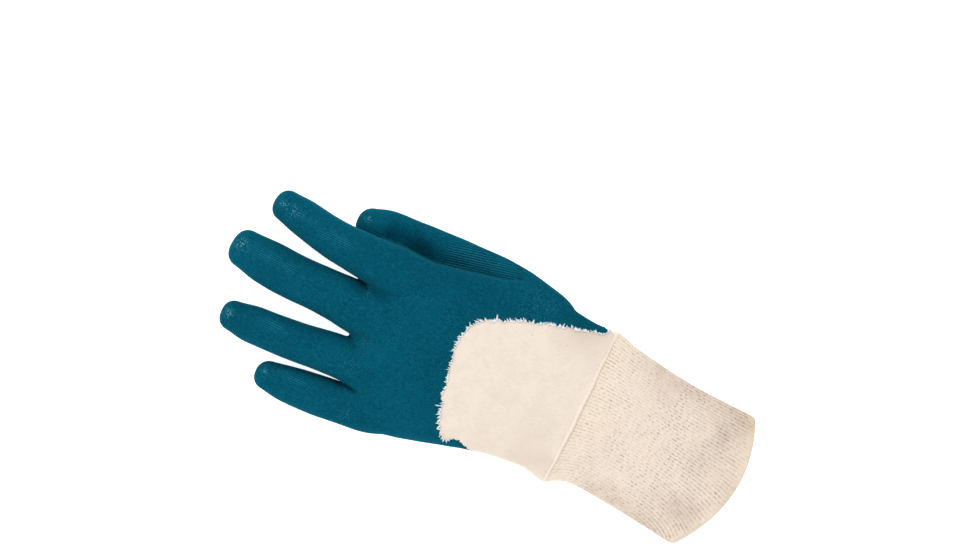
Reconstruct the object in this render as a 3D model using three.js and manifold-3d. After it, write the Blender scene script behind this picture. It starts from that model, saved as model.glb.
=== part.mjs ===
import * as THREE from "three";
import { mergeVertices } from "three/addons/utils/BufferGeometryUtils.js";
import Module from "manifold-3d";

// A left-hand work glove lying palm down: a cotton jersey glove dipped in nitrile, with the back
// of the hand left bare and a rib-knit wrist sewn on. Millimetres, +Z up, +Y to the fingertips,
// +X to the thumb side. The tables are measured from the middle of the wrist seam.

const wasm = await Module();
wasm.setup();

// Walls and gaps
const HAND_WALL = 1.5;
const CUFF_WALL = 2.2;
const PIECE_GAP = 0.3;

// Fineness of the lofts
const HAND_SIDES = 32;
const DIGIT_SIDES = 16;
const TIP_RINGS = 3;
const DIGIT_STEP = 12;
const HAND_STEP = 12;

// The hand's own body, without thumb and fingers. left and right are its edges seen from above,
// low and high the heights of those two edges, and thick its greatest thickness.
const HAND_SQUARENESS = 2.4;
const HAND = [
  { y: -8, left: -41.2, right: 39.8, low: 6.9, high: 7.1, thick: 16.4 },
  { y: 3, left: -41.2, right: 39.0, low: 7.4, high: 7.8, thick: 17.6 },
  { y: 12, left: -39.3, right: 38.5, low: 8.1, high: 9.1, thick: 19.8 },
  { y: 25, left: -40.8, right: 39.5, low: 9.3, high: 10.9, thick: 22.6 },
  { y: 37, left: -43.0, right: 40.0, low: 10.2, high: 12.6, thick: 24.6 },
  { y: 50, left: -46.6, right: 39.8, low: 10.9, high: 15.0, thick: 26.2 },
  { y: 65, left: -51.6, right: 37.0, low: 11.6, high: 17.8, thick: 27.0 },
  { y: 80, left: -55.8, right: 33.2, low: 11.8, high: 19.8, thick: 27.2 },
  { y: 94, left: -58.6, right: 29.8, low: 11.8, high: 21.0, thick: 25.8 },
];
const HAND_END = 21; // how far the rounded distal end reaches past the last row

// Thumb and fingers: the centreline, the width seen from above and the thickness. tip is how far
// the rounded end reaches past the last row.
const DIGIT_SQUARENESS = 2.15;
const DIGITS = {
  thumb: {
    tip: 8.5,
    rows: [
      { x: 22.0, y: 12, z: 9.4, wide: 16.0, thick: 15.0 },
      { x: 28.8, y: 30, z: 10.3, wide: 26.2, thick: 20.0 },
      { x: 32.6, y: 44, z: 10.9, wide: 25.4, thick: 21.4 },
      { x: 35.2, y: 58, z: 10.9, wide: 23.8, thick: 21.4 },
      { x: 36.4, y: 75, z: 10.2, wide: 21.4, thick: 19.8 },
      { x: 36.2, y: 90, z: 9.3, wide: 20.2, thick: 18.4 },
      { x: 35.2, y: 106, z: 8.8, wide: 19.2, thick: 17.6 },
      { x: 34.0, y: 120, z: 8.4, wide: 19.2, thick: 17.0 },
      { x: 32.5, y: 127.5, z: 8.0, wide: 17.8, thick: 15.8 },
    ],
  },
  index_finger: {
    tip: 7.5,
    rows: [
      { x: 14.5, y: 70, z: 17.0, wide: 21.0, thick: 19.0 },
      { x: 17.4, y: 92, z: 20.4, wide: 24.0, thick: 21.0 },
      { x: 17.9, y: 108, z: 21.8, wide: 24.2, thick: 20.4 },
      { x: 18.1, y: 118, z: 21.8, wide: 22.6, thick: 19.6 },
      { x: 18.8, y: 134, z: 20.0, wide: 19.8, thick: 18.8 },
      { x: 20.1, y: 147, z: 16.8, wide: 18.2, thick: 18.2 },
      { x: 21.7, y: 158, z: 13.2, wide: 17.4, thick: 17.4 },
      { x: 22.9, y: 168, z: 9.6, wide: 15.6, thick: 15.4 },
    ],
  },
  middle_finger: {
    tip: 8,
    rows: [
      { x: -8.0, y: 75, z: 15.8, wide: 22.0, thick: 21.0 },
      { x: -5.9, y: 98, z: 18.0, wide: 26.4, thick: 22.6 },
      { x: -5.5, y: 116, z: 18.2, wide: 25.4, thick: 21.4 },
      { x: -5.7, y: 131, z: 17.2, wide: 22.8, thick: 20.4 },
      { x: -6.2, y: 150, z: 14.4, wide: 21.8, thick: 19.8 },
      { x: -6.0, y: 165, z: 11.4, wide: 21.6, thick: 18.8 },
      { x: -5.1, y: 176.5, z: 8.8, wide: 19.2, thick: 16.4 },
    ],
  },
  ring_finger: {
    tip: 7.5,
    rows: [
      { x: -30.0, y: 72, z: 13.6, wide: 19.0, thick: 19.0 },
      { x: -30.5, y: 94, z: 15.2, wide: 22.4, thick: 21.2 },
      { x: -31.0, y: 108, z: 15.6, wide: 21.4, thick: 20.0 },
      { x: -31.5, y: 120, z: 15.2, wide: 20.2, thick: 19.2 },
      { x: -33.7, y: 135, z: 13.8, wide: 19.2, thick: 18.4 },
      { x: -35.6, y: 150, z: 11.4, wide: 18.4, thick: 17.6 },
      { x: -36.2, y: 160, z: 9.6, wide: 17.6, thick: 16.8 },
      { x: -36.4, y: 167.5, z: 8.2, wide: 15.4, thick: 14.8 },
    ],
  },
  little_finger: {
    tip: 7.5,
    rows: [
      { x: -41.5, y: 66, z: 11.6, wide: 13.0, thick: 16.0 },
      { x: -49.2, y: 88, z: 12.0, wide: 18.8, thick: 19.0 },
      { x: -51.3, y: 103, z: 11.8, wide: 19.4, thick: 18.4 },
      { x: -53.0, y: 118, z: 10.8, wide: 18.8, thick: 17.4 },
      { x: -54.4, y: 131, z: 9.2, wide: 17.0, thick: 16.0 },
      { x: -54.7, y: 140, z: 7.8, wide: 15.0, thick: 14.2 },
    ],
  },
};

// The knit wrist, from the seam to its folded end: its edges seen from above and its thickness.
// bend is how far the curved end is reached: 0 leaves a ring straight, 1 gives it the end's curve.
const CUFF_SQUARENESS = 2.2;
const CUFF = [
  { y: -1.5, left: -40.2, right: 39.4, middle: 6.9, thick: 15.0, bend: 0 },
  { y: -6, left: -38.2, right: 38.6, middle: 6.3, thick: 13.9, bend: 0.06 },
  { y: -14, left: -35.8, right: 36.6, middle: 5.8, thick: 13.1, bend: 0.15 },
  { y: -48, left: -37.4, right: 32.8, middle: 5.4, thick: 12.2, bend: 0.55 },
  { y: -82.6, left: -40.2, right: 32.2, middle: 4.8, thick: 11.0, bend: 1 },
];
const CUFF_END = { radius: 60, x: 3 }; // the curve of the folded end, seen from above
const CUFF_FOLD = 2.4; // how far the rounded fold stands out past the last row
const RIBS = 96; // rib wales around the wrist
const RIB_DEPTH = 0.55;

// The rolled seam between jersey and knit wrist
const SEAM_ROWS = { y: -0.3, left: -40.9, right: 39.3, middle: 7.3, thick: 16.4 };
const SEAM_PROUD = 0.7; // how far the roll stands out from the section above
const SEAM_DEEP = 2.6; // how far the seam allowance reaches inwards
const SEAM_HALF_WIDTH = 0.9;
const SEAM_SIDES = 44;

// The bare jersey: the coating's edge on the back of the hand, seen from above, in order from
// the thumb end of the seam to the little finger side, and on the palm side back again.
const COATING_START = 0.9; // the jersey's and the coating's end at the seam
const BACK_EDGE = [
  { x: 39.9, y: 0 },
  { x: 35.0, y: 8.5 },
  { x: 29.8, y: 25 },
  { x: 24.4, y: 42 },
  { x: 17.4, y: 57 },
  { x: 10.6, y: 64 },
  { x: 2.0, y: 66 },
  { x: -17.0, y: 62.6 },
  { x: -33.0, y: 59.4 },
  { x: -40.0, y: 56 },
  { x: -43.2, y: 50.5 },
  { x: -41.6, y: 43 },
  { x: -44.5, y: 36.5 },
];
const PALM_EDGE = [
  { x: 42, y: 5.5 },
  { x: 10, y: 6.5 },
  { x: -18, y: 8 },
  { x: -31, y: 15 },
  { x: -37, y: 25 },
  { x: -44.5, y: 36.5 },
];
const SIDE_HEIGHT = 9.8; // the height at which the back's edge passes to the palm's
const RAGGED = { step: 3.1, depth: 0.8 }; // the torn look of the coating's edge
const CLEAR = 30; // how far a cutter reaches past the glove

const MATERIALS = {
  nitrile: { color: 0x00566b, roughness: 0.55, metalness: 0 },
  jersey: { color: 0xf0e4d4, roughness: 0.95, metalness: 0 },
  rib_knit: { color: 0xeadbc8, roughness: 0.98, metalness: 0 },
};

// A table's row at any place, by a smooth curve through its rows.
function rowAt(rows, key, at) {
  const order = Math.sign(rows[rows.length - 1][key] - rows[0][key]);
  const last = rows.length - 2;
  const found = rows.findIndex((row) => order * (row[key] - at) > 0) - 1;
  const i = THREE.MathUtils.clamp(found < -1 || at === rows.at(-1)[key] ? last : found, 0, last);
  const [p, a, b, n] = [rows[Math.max(i - 1, 0)], rows[i], rows[i + 1], rows[Math.min(i + 2, last + 1)]];
  const span = b[key] - a[key];
  const t = (at - a[key]) / span;
  const row = {};
  for (const column of Object.keys(a)) {
    const slopeA = ((b[column] - p[column]) / (b[key] - p[key])) * span;
    const slopeB = ((n[column] - a[column]) / (n[key] - a[key])) * span;
    row[column] =
      (2 * t ** 3 - 3 * t ** 2 + 1) * a[column] +
      (t ** 3 - 2 * t ** 2 + t) * slopeA +
      (3 * t ** 2 - 2 * t ** 3) * b[column] +
      (t ** 3 - t ** 2) * slopeB;
  }
  row[key] = at;
  return row;
}

// The cosine or sine of a rounded rectangle between an ellipse (2) and a square.
function squared(value, squareness) {
  return Math.sign(value) * Math.abs(value) ** (2 / squareness);
}

// A closed ring around a centre. What would go below the table is flattened on it.
function section({ centre, across, wide, thick, squareness, sides, floor }) {
  const up = new THREE.Vector3(0, 0, 1).addScaledVector(across, -across.z).normalize();
  return Array.from({ length: sides }, (_, i) => {
    const angle = (2 * Math.PI * (i + 0.5)) / sides;
    const point = centre
      .clone()
      .addScaledVector(across, (wide / 2) * squared(Math.cos(angle), squareness))
      .addScaledVector(up, (thick / 2) * squared(Math.sin(angle), squareness));
    point.z = Math.max(point.z, floor);
    return point;
  });
}

// The triangles between rings of equal length, given as an index geometry with the points.
function surface(points, triangles) {
  const geometry = new THREE.BufferGeometry().setFromPoints(points);
  geometry.setIndex(triangles);
  return geometry;
}

// A body through rings, each closed by a fan at its two ends.
function loft(rings) {
  const sides = rings[0].length;
  const points = rings.flat();
  const triangles = [];
  for (let r = 0; r + 1 < rings.length; r++) {
    for (let s = 0; s < sides; s++) {
      const [a, b] = [r * sides + s, r * sides + ((s + 1) % sides)];
      triangles.push(a, b + sides, b, a, a + sides, b + sides);
    }
  }
  for (const [ring, turned] of [
    [0, false],
    [rings.length - 1, true],
  ]) {
    const middle = new THREE.Vector3();
    rings[ring].forEach((point) => middle.addScaledVector(point, 1 / sides));
    points.push(middle);
    for (let s = 0; s < sides; s++) {
      const [a, b] = [ring * sides + s, ring * sides + ((s + 1) % sides)];
      triangles.push(...(turned ? [b, a] : [a, b]), points.length - 1);
    }
  }
  return surface(points, triangles);
}

// A body through rings whose last ring joins the first again, like a folded tube.
function foldedTube(rings) {
  const sides = rings[0].length;
  const triangles = [];
  for (let r = 0; r < rings.length; r++) {
    const next = ((r + 1) % rings.length) * sides;
    for (let s = 0; s < sides; s++) {
      const [a, b] = [s, (s + 1) % sides];
      triangles.push(r * sides + a, r * sides + b, next + b, r * sides + a, next + b, next + a);
    }
  }
  return surface(rings.flat(), triangles);
}

// How large the rounded end still is, at a share of its reach.
function endShare(share, squareness) {
  return (1 - share ** squareness) ** (1 / squareness);
}

// Evenly spaced places from start to end, both included.
function places(start, end, step) {
  const count = Math.max(1, Math.round(Math.abs(end - start) / step));
  return Array.from({ length: count + 1 }, (_, i) => start + ((end - start) * i) / count);
}

// The hand's body without digits, smaller all over by the inset.
function handBody(inset, start) {
  const last = HAND[HAND.length - 1];
  const reach = HAND_END - inset;
  const ring = (y, share) => {
    const row = rowAt(HAND, "y", Math.min(y, last.y));
    const centre = new THREE.Vector3((row.left + row.right) / 2, y, (row.low + row.high) / 2);
    const across = new THREE.Vector3(row.right - row.left, 0, row.high - row.low).normalize();
    return section({
      centre,
      across,
      wide: (row.right - row.left - 2 * inset) * share,
      thick: (row.thick - 2 * inset) * share,
      squareness: HAND_SQUARENESS,
      sides: HAND_SIDES,
      floor: inset,
    });
  };
  const rings = places(start, last.y, HAND_STEP).map((y) => ring(y, 1));
  for (let i = 1; i <= TIP_RINGS; i++) {
    const share = Math.sin((i / (TIP_RINGS + 0.6)) * (Math.PI / 2));
    rings.push(ring(last.y + reach * share, endShare(share, 2)));
  }
  return loft(rings);
}

// One digit: a bent tube from inside the hand to its rounded tip, smaller all over by the inset.
function digitBody({ rows, tip }, inset) {
  const [first, last] = [rows[0], rows[rows.length - 1]];
  const ring = (y, ahead, share) => {
    const [before, row, after] = [y - 0.5, y, y + 0.5].map((at) => rowAt(rows, "y", Math.min(at, last.y)));
    const way = new THREE.Vector3(after.x - before.x, after.y - before.y, 0).normalize();
    const dip = (after.z - before.z) / Math.max(after.y - before.y, 0.5);
    return section({
      centre: new THREE.Vector3(row.x, y, row.z).addScaledVector(way, ahead).add({ x: 0, y: 0, z: dip * ahead }),
      across: new THREE.Vector3(way.y, -way.x, 0),
      wide: (row.wide - 2 * inset) * share,
      thick: (row.thick - 2 * inset) * share,
      squareness: DIGIT_SQUARENESS,
      sides: DIGIT_SIDES,
      floor: inset,
    });
  };
  const rings = places(first.y, last.y, DIGIT_STEP).map((y) => ring(y, 0, 1));
  for (let i = 1; i <= TIP_RINGS; i++) {
    const share = Math.sin((i / (TIP_RINGS + 0.45)) * (Math.PI / 2));
    rings.push(ring(last.y, (tip - inset) * share, endShare(share, DIGIT_SQUARENESS)));
  }
  return loft(rings);
}

function solid(geometry) {
  const bare = new THREE.BufferGeometry().setAttribute("position", geometry.getAttribute("position"));
  if (geometry.index) bare.setIndex(geometry.index);
  const merged = mergeVertices(bare, 1e-4);
  return new wasm.Manifold(
    new wasm.Mesh({
      numProp: 3,
      vertProperties: merged.attributes.position.array,
      triVerts: new Uint32Array(merged.index.array),
    }),
  );
}

// The whole hand with its digits as one solid.
function handSolid(inset, start) {
  return Object.values(DIGITS).reduce(
    (hand, digit) => hand.add(solid(digitBody(digit, inset))),
    solid(handBody(inset, start)),
  );
}

// An even curve through edge points, torn a little to either side, as an outline.
function raggedEdge(points, grow) {
  const curve = new THREE.CatmullRomCurve3(points.map(({ x, y }) => new THREE.Vector3(x, y, 0)));
  const count = 2 * Math.round(curve.getLength() / (2 * RAGGED.step));
  return curve.getSpacedPoints(count).map((point, i) => {
    const way = curve.getTangentAt(i / count);
    const tear = i === 0 || i === count ? 0 : RAGGED.depth * (i % 2 ? 1 : -1) * (0.55 + 0.45 * Math.sin(2.3 * i));
    return new THREE.Vector2(point.x + way.y * (tear + grow), point.y - way.x * (tear + grow));
  });
}

// What stays uncoated: all that lies towards the seam from the edge on the back and on the palm.
function bareRegion(grow) {
  const slab = (edge, low, high) => {
    const outline = [
      ...edge,
      new THREE.Vector2(-CLEAR - 60, edge.at(-1).y),
      new THREE.Vector2(-CLEAR - 60, -CLEAR),
      new THREE.Vector2(CLEAR + 60, -CLEAR),
      new THREE.Vector2(CLEAR + 60, edge[0].y),
    ];
    const geometry = new THREE.ExtrudeGeometry(new THREE.Shape(outline), { depth: high - low, bevelEnabled: false });
    return solid(geometry.translate(0, 0, low));
  };
  const back = slab(raggedEdge(BACK_EDGE, grow), SIDE_HEIGHT - 0.1 - grow, CLEAR + 20);
  const palm = slab(raggedEdge(PALM_EDGE, grow), -CLEAR, SIDE_HEIGHT + grow);
  return back.add(palm);
}

function geometryOf(made) {
  const { vertProperties, triVerts, numProp } = made.getMesh();
  const positions = new Float32Array((vertProperties.length / numProp) * 3);
  for (let i = 0; i < positions.length / 3; i++) {
    positions.set(vertProperties.subarray(i * numProp, i * numProp + 3), i * 3);
  }
  const geometry = new THREE.BufferGeometry().setAttribute("position", new THREE.BufferAttribute(positions, 3));
  geometry.setIndex(new THREE.BufferAttribute(triVerts, 1));
  return geometry;
}

// The ribbed knit wrist as one folded wall.
function knitWrist() {
  const ring = (row, inset, ahead, ribbed) => {
    const half = (row.right - row.left) / 2;
    const centre = new THREE.Vector3((row.left + row.right) / 2, row.y, row.middle);
    const points = section({
      centre,
      across: new THREE.Vector3(1, 0, 0),
      wide: 2 * (half - inset),
      thick: row.thick - 2 * inset,
      squareness: CUFF_SQUARENESS,
      sides: 2 * RIBS,
      floor: inset,
    });
    return points.map((point, i) => {
      const out = point.clone().sub(centre).setY(0).normalize();
      if (ribbed && i % 2) point.addScaledVector(out, -RIB_DEPTH);
      point.z = Math.max(point.z, inset);
      point.y += row.bend * (point.x - CUFF_END.x) ** 2 / (2 * CUFF_END.radius) - ahead;
      return point;
    });
  };
  const end = CUFF[CUFF.length - 1];
  const outside = CUFF.map((row) => ring(row, 0, 0, true));
  const fold = [
    ring(end, 0.35, 0.75 * CUFF_FOLD, false),
    ring(end, CUFF_WALL / 2, CUFF_FOLD, false),
    ring(end, CUFF_WALL - 0.35, 0.75 * CUFF_FOLD, false),
  ];
  const inside = [4, 3, 2, 0].map((i) => ring(CUFF[i], CUFF_WALL, 0, false));
  return foldedTube([...outside, ...fold, ...inside]);
}

// The rolled wrist seam: a ring whose section is proud outside and reaches in as an allowance.
function wristSeam() {
  const profile = [
    { out: 0.3 * SEAM_PROUD, along: 1 },
    { out: SEAM_PROUD, along: 0.5 },
    { out: SEAM_PROUD, along: -0.5 },
    { out: 0.3 * SEAM_PROUD, along: -1 },
    { out: -SEAM_DEEP, along: -1 },
    { out: -SEAM_DEEP, along: 1 },
  ];
  const { y, left, right, middle, thick } = SEAM_ROWS;
  const rings = profile.map(({ out, along }) =>
    section({
      centre: new THREE.Vector3((left + right) / 2, y + along * SEAM_HALF_WIDTH, middle),
      across: new THREE.Vector3(1, 0, 0),
      wide: right - left + 2 * out,
      thick: thick + 2 * out,
      squareness: CUFF_SQUARENESS,
      sides: SEAM_SIDES,
      floor: Math.max(0, -out),
    }),
  );
  return foldedTube(rings);
}

const glove = new THREE.Group();

function addPiece(name, geometry, material) {
  const mesh = new THREE.Mesh(geometry, new THREE.MeshStandardMaterial(MATERIALS[material]));
  mesh.name = name;
  glove.add(mesh);
}

const hand = handSolid(0, COATING_START).subtract(handSolid(HAND_WALL, -CLEAR / 4));
addPiece("coated_hand", geometryOf(hand.subtract(bareRegion(PIECE_GAP))), "nitrile");
addPiece("jersey_back", geometryOf(hand.intersect(bareRegion(0))), "jersey");
addPiece("wrist_seam", wristSeam(), "jersey");
addPiece("knit_wrist", knitWrist(), "rib_knit");

// The origin is under the middle of the whole glove, on the table.
const bounds = new THREE.Box3().setFromObject(glove);
const middle = bounds.getCenter(new THREE.Vector3());
for (const mesh of glove.children) mesh.position.set(-middle.x, -middle.y, -bounds.min.z);

export default glove;
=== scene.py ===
import math
from functools import lru_cache

import bmesh
import bpy
import numpy as np
from bpy.props import FloatProperty, FloatVectorProperty, IntProperty, PointerProperty
from mathutils import Matrix, Vector, noise
from mathutils.bvhtree import BVHTree


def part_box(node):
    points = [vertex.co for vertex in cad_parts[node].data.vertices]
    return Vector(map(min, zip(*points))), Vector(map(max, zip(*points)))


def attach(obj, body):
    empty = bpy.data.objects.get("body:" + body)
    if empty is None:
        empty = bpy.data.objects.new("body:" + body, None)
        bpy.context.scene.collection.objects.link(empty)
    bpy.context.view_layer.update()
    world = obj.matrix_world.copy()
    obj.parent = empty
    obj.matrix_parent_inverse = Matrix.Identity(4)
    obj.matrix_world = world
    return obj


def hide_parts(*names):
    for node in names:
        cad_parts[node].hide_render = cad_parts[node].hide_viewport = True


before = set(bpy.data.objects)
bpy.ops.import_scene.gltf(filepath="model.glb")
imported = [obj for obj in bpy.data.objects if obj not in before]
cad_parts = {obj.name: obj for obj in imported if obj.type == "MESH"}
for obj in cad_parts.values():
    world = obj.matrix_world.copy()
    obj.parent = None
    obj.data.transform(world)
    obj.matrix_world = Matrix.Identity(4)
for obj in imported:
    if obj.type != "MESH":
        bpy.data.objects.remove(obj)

bl_info = {
    "name": "Nitrile Coated Glove",
    "version": (1, 0, 0),
    "blender": (4, 5, 0),
    "location": "View3D > Sidebar > Glove",
    "description": "Models a left-hand work glove with a dipped coating, a jersey back and a knit wrist",
    "category": "Add Mesh",
}

# The tables are in millimetres and are measured from the middle of the wrist seam, +Y to the
# fingertips, +X to the thumb side, +Z up from the table that the glove lies on.
MM = 0.001
SEAM = {"y": -0.3, "left": -40.9, "right": 39.3, "middle": 7.3, "thick": 16.4}
SEAM_LOW, SEAM_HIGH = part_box("wrist_seam")
ORIGIN = np.array([
    (SEAM_LOW.x + SEAM_HIGH.x) / 2 - (SEAM["left"] + SEAM["right"]) / 2 * MM,
    (SEAM_LOW.y + SEAM_HIGH.y) / 2 - SEAM["y"] * MM,
    0.0,
])
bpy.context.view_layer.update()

# The hand's own body without its digits: y, left and right edge, the heights of those two edges
# and the greatest thickness. A squareness of 2 is an ellipse, and more is nearer to a rectangle.
HAND_SQUARENESS = 2.4
HAND = np.array([
    (-8, -41.2, 39.8, 6.9, 7.1, 16.4),
    (3, -41.2, 39.0, 7.4, 7.8, 17.6),
    (12, -39.3, 38.5, 8.1, 9.1, 19.8),
    (25, -40.8, 39.5, 9.3, 10.9, 22.6),
    (37, -43.0, 40.0, 10.2, 12.6, 24.6),
    (50, -46.6, 39.8, 10.9, 15.0, 26.2),
    (65, -51.3, 37.0, 11.6, 17.8, 27.0),
    (80, -55.2, 33.2, 11.8, 19.8, 27.2),
    (94, -57.8, 29.8, 11.8, 21.0, 25.8),
])
HAND_END = 21  # how far the rounded distal end reaches past the last row
HAND_ROUNDNESS = 1.5
# The lofts' points around, rings of the rounded end, and steps along or their length
HAND_LOFT = {"sides": 96, "end": 12, "steps": 46}
DIGIT_LOFT = {"sides": 48, "end": 9, "step": 2}

# Thumb and fingers: y, x and z of the centreline, width seen from above and thickness. TIPS is how
# far each rounded end reaches past its last row.
DIGIT_SQUARENESS = {"thumb": 2.15, "index": 2.35, "middle": 2.5, "ring": 2.35, "little": 2.2}
TIPS = {"thumb": 8.2, "index": 7.5, "middle": 8, "ring": 7.5, "little": 7.5}
DIGITS = {
    "thumb": np.array([
        (12, 22.0, 9.4, 16.0, 15.0),
        (30, 28.8, 10.3, 26.2, 20.0),
        (44, 32.6, 10.9, 25.4, 21.4),
        (58, 35.2, 10.9, 23.8, 21.4),
        (75, 36.4, 10.2, 21.4, 19.8),
        (90, 36.2, 9.3, 20.2, 18.4),
        (106, 35.2, 8.8, 19.2, 17.6),
        (120, 34.0, 8.4, 19.2, 17.0),
        (127.5, 32.3, 8.0, 17.3, 15.8),
    ]),
    "index": np.array([
        (70, 14.5, 17.0, 21.0, 19.0),
        (92, 17.4, 20.4, 24.0, 21.0),
        (108, 17.9, 21.8, 24.2, 20.4),
        (118, 18.2, 21.8, 22.4, 19.6),
        (134, 18.33, 20.0, 20.15, 18.8),
        (147, 19.43, 16.8, 18.75, 18.2),
        (158, 21.25, 13.2, 17.9, 17.4),
        (168, 22.55, 9.6, 15.7, 15.4),
    ]),
    "middle": np.array([
        (75, -8.0, 15.8, 22.0, 21.0),
        (98, -5.9, 18.0, 26.4, 22.6),
        (116, -5.7, 18.2, 25.0, 21.4),
        (131, -5.55, 17.2, 23.1, 20.4),
        (150, -5.9, 14.4, 22.0, 19.8),
        (165, -5.45, 11.4, 21.8, 18.8),
        (176.5, -4.55, 8.8, 18.9, 16.4),
    ]),
    "ring": np.array([
        (72, -30.0, 13.6, 19.0, 19.0),
        (94, -30.0, 15.2, 22.0, 21.2),
        (108, -29.75, 15.6, 20.9, 20.0),
        (120, -30.75, 15.2, 20.3, 19.2),
        (135, -32.98, 13.8, 18.95, 18.4),
        (150, -34.73, 11.4, 18.45, 17.6),
        (160, -35.6, 9.6, 17.6, 16.8),
        (167.5, -35.9, 8.2, 15.1, 14.8),
    ]),
    "little": np.array([
        (66, -41.5, 11.6, 13.0, 16.0),
        (88, -48.6, 12.0, 18.4, 19.0),
        (103, -50.43, 11.8, 19.05, 18.4),
        (118, -52.35, 10.8, 19.3, 17.4),
        (131, -53.85, 9.2, 17.8, 16.0),
        (140, -54.25, 7.8, 14.9, 14.2),
    ]),
}

# Dents on the back: x and y of the middle, the long way's angle from +X in degrees, half length,
# half width and depth. A negative depth stands proud.
DENTS = (
    (-33, 100.5, 23, 18, 3.6, 0.9),
    (-48.2, 66, 106, 22, 1.3, -0.3),
    (-45.6, 66, 106, 22, 1.6, 0.25),
    (-12, 84, 20, 24, 9, 0.5),
    (22, 74, 120, 16, 6, 0.4),
)
# Creases on the back, as lines with a depth and the widths of their two sides: beyond is on the
# right when the line runs away from the viewer.
CREASES = (
    {
        "points": (
            (42.2, 49.5), (40.0, 54.5), (37.6, 60.5), (35.4, 70), (33.4, 78), (31.7, 86), (30.8, 93),
            (30.5, 100), (30.9, 107), (30.8, 114.5), (30.0, 122),
        ),
        "deep": 5.2, "beyond": 9.5, "before": 0.6,
    },
    {
        "points": ((-40.9, 113), (-40.5, 108), (-41.0, 103.2), (-41.8, 97)),
        "deep": 4.2, "beyond": 1.5, "before": 0.6,
    },
    {
        "points": ((-18.4, 120), (-19.4, 115.5), (-21.6, 110.5)),
        "deep": 2.3, "beyond": 2.4, "before": 1.2,
    },
    {
        "points": ((7.4, 125), (6.5, 119), (3.0, 113.5)),
        "deep": 3.6, "beyond": 3.2, "before": 0.7,
    },
)
CREASE_BAND = 2.2  # how far from a crease the hand is finely divided
CREASE_THINNING = 0.9  # the share of its thickness that the wall loses in a crease
CREASE_THIN_REACH = 4.5  # how far beside a crease it is thinned
# Where two fingers' sides close in towards the fork between them: lines out from it.
PINCHES = (((-40.4, 107), (-41.3, 115.5)), ((7.0, 119.5), (6.9, 131)))
PINCH_WIDTH = 0.9
SOFTNESS = ((0.45, 26.0), (0.2, 9.0))  # height and length of the slack cloth's gentle waves

# The coating's edge: x and y seen from above on the back of the hand, and seen through it on the
# palm, each from the thumb's end of the seam to the little finger's side.
BACK_EDGE = np.array([
    (39.9, 0), (35.0, 8.5), (29.8, 25), (24.4, 42), (17.4, 57), (10.6, 64), (2.0, 66),
    (-17.0, 62.6), (-32.0, 59.3), (-38.0, 56.6), (-41.8, 54), (-43.2, 51), (-41.6, 47.6), (-41.3, 44.2),
    (-42.2, 40.5), (-44.5, 36.2),
])
PALM_EDGE = np.array([(42, 5.5), (10, 6.5), (-18, 8), (-31, 15), (-37, 25), (-44.5, 36.2)])
SIDE_HEIGHT = 9.8  # the height at which the back's edge passes to the palm's
SIDE_BLEND = 3.0  # half the height that this takes
EDGE_BAND = 1.9  # how far from its edge the coating is finely divided
TEARS = ((0.75, 5.2), (0.5, 2.3), (0.4, 0.95))  # depth and length of the edge's tears
PALM_TEARS = 400  # how far along the tears' random line the palm's edge starts
JERSEY_UNDER = 0.7  # how far the jersey runs on below the coating
FOLDED_UNDER = 14  # how much of the back's edge lies underneath at the little finger's side
COATING_START = -0.3  # where the jersey and the coating go into the seam
TUFT_EDGE = 280  # the length of edge that the tufts are counted for
TUFT_FIBRES = 7

# The wrist seam: points and stitches around, and the roll's outline as places along the hand and
# heights above the cloth.
SEAM_POINTS = 900
SEAM_STITCHES = 118
SEAM_ROLL = (
    (-0.8, -2.4), (-0.85, -0.6), (-0.8, 0.1), (-0.6, 0.4), (-0.25, 0.6), (0.15, 0.64),
    (0.45, 0.5), (0.7, 0.28), (1.2, 0.1), (1.8, -0.1), (1.9, -0.6), (1.8, -2.4),
)

# The knit wrist: distance below the seam, left and right edge, middle height, thickness, and how
# much of the end's curve is reached.
CUFF_SQUARENESS = 2.2
CUFF = np.array([
    (0.6, -40.5, 39.6, 7.1, 15.8, 0),
    (1.5, -40.2, 39.4, 6.9, 15.5, 0),
    (6, -38.2, 38.6, 6.3, 14.1, 0.06),
    (14, -35.8, 36.6, 5.8, 13.1, 0.15),
    (48, -37.4, 32.8, 5.4, 12.2, 0.55),
    (82.6, -40.2, 32.2, 4.8, 11.0, 1),
])
CUFF_CURVE = {"radius": 60, "x": 3}  # the end's curve and its farthest point
CUFF_WALL = 2.2
CUFF_ROUND = 150  # the tube's girth
CUFF_OVAL = (35, 6.2)  # half the width and thickness by which the ribs are spaced evenly
CUFF_FOLD = 2.4  # how far the fold at the end reaches past the last row
FOLD_RINGS = 8
FOLD_COURSES = 5  # rows of stitches round the fold
RIB_POINTS = 6  # points across each rib
RIB_SWEEP = 9  # how far the ribs are swept round to the little finger's side at the end
RIB_SWEEP_START = 30  # how far below the seam that begins

# Painted shade and painted light: x, y, radius and strength. On the knit it is painted shade.
SHADE_HEIGHT = 10  # the height of their middles
KNIT_PAINTED_SHADE = (
    (-24, -65, 13, 0.42), (-27, -50, 16, 0.12), (5, -66, 18, 0.1), (20, -70, 17, 0.3), (28, -34, 16, 0.18),
    (-33, -32, 10, 0.15),
)
# Painted shade on the jersey, where it lies in soft folds and turns down at the hand's sides.
JERSEY_PAINTED_SHADE = (
    (38, 12, 28, 0.5), (30, 14, 12, 0.15), (18, 24, 14, 0.2), (-25, 17, 18, 0.35), (-38, 18, 13, 0.45),
    (-39, 35, 14, 0.5), (-33, 6, 12, 0.45), (30, 20, 16, 0.3), (38, 6, 8, 0.2),
)
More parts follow.
